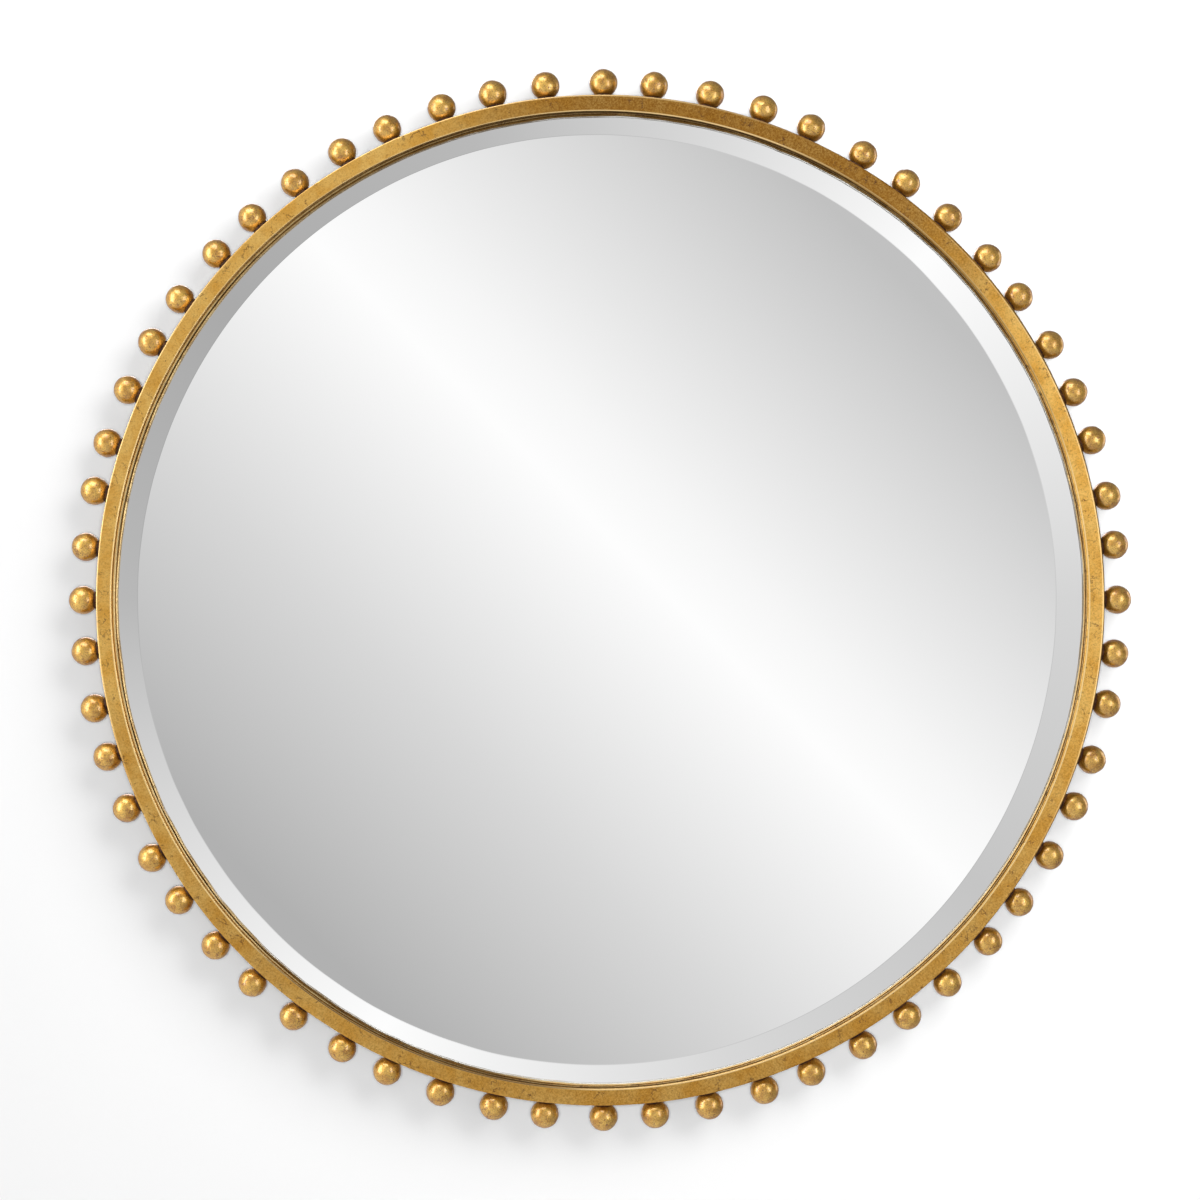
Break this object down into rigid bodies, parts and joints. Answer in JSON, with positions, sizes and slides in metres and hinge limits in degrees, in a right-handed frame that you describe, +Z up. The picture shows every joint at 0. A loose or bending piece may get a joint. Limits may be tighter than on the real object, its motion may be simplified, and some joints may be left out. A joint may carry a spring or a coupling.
{
  "type": "round mirror",
  "caption": "Round bevelled wall mirror in a gold-leafed metal band ringed by metal balls, with a framed backing board and swinging D-rings to hang it by.",
  "frame": {"origin": "the mirror's centre on the wall's face", "axes": "+X to the viewer's right, +Y into the wall, +Z up; the glass faces -Y"},
  "size_m": [1.016, 0.03, 1.016],
  "materials": {
    "leafed_band": "hammered steel, gold leaf over red-brown primer",
    "leafed_ring": "rolled steel, worn gold leaf over dark primer",
    "leafed_beads": "steel balls, gold leaf over red-brown primer",
    "dark_weld": "dark brown weld",
    "mirror_glass": "silvered, with a polished bevel",
    "coating_paint": "grey protective paint on the silver",
    "glazing_tape": "white tape",
    "foam_tape": "white foam tape",
    "backing_board": "brown fibreboard",
    "black_rubber": "black rubber",
    "zinc_plate": "zinc-plated sheet",
    "zinc_wire": "zinc-plated wire",
    "zinc_screws": "zinc-plated",
    "bumper_rubber": "black rubber"
  },
  "bodies": {
    "mirror": {"front_band": "leafed_band", "angle_ring": "leafed_ring", "beads_right": "leafed_beads", "beads_top": "leafed_beads", "beads_left": "leafed_beads", "beads_bottom": "leafed_beads", "bead_welds": "dark_weld", "mirror_glass": "mirror_glass", "silver_coating": "coating_paint", "glazing_tape": "glazing_tape", "foam_strips": "foam_tape", "backing_board": "backing_board", "setting_blocks": "black_rubber", "clip_lugs": "leafed_ring", "hanger_lugs": "leafed_ring", "clip_screws": "zinc_screws", "hanger_plate_screws": "zinc_screws", "bumper_screws": "zinc_screws", "strap_rivets": "zinc_screws", "retaining_clip_1": "zinc_plate", "retaining_clip_2": "zinc_plate", "retaining_clip_3": "zinc_plate", "retaining_clip_4": "zinc_plate", "retaining_clip_5": "zinc_plate", "retaining_clip_6": "zinc_plate", "retaining_clip_7": "zinc_plate", "retaining_clip_8": "zinc_plate", "hanger_plate_left": "zinc_plate", "hanger_strap_left": "zinc_plate", "hanger_plate_right": "zinc_plate", "hanger_strap_right": "zinc_plate", "wall_bumper_1": "bumper_rubber", "wall_bumper_2": "bumper_rubber", "wall_bumper_3": "bumper_rubber", "wall_bumper_4": "bumper_rubber"},
    "d_ring_left": {"d_ring_left": "zinc_wire"},
    "d_ring_right": {"d_ring_right": "zinc_wire"}
  },
  "joints": [
    {"name": "d_ring_left_swing", "type": "hinge", "parent": "mirror", "child": "d_ring_left", "pos_m": [-0.2196, -0.0066, 0.38036], "axis": [1, 0, 0], "range_deg": [0, 177]},
    {"name": "d_ring_right_swing", "type": "hinge", "parent": "mirror", "child": "d_ring_right", "pos_m": [0.2196, -0.0066, 0.38036], "axis": [1, 0, 0], "range_deg": [0, 177]}
  ]
}
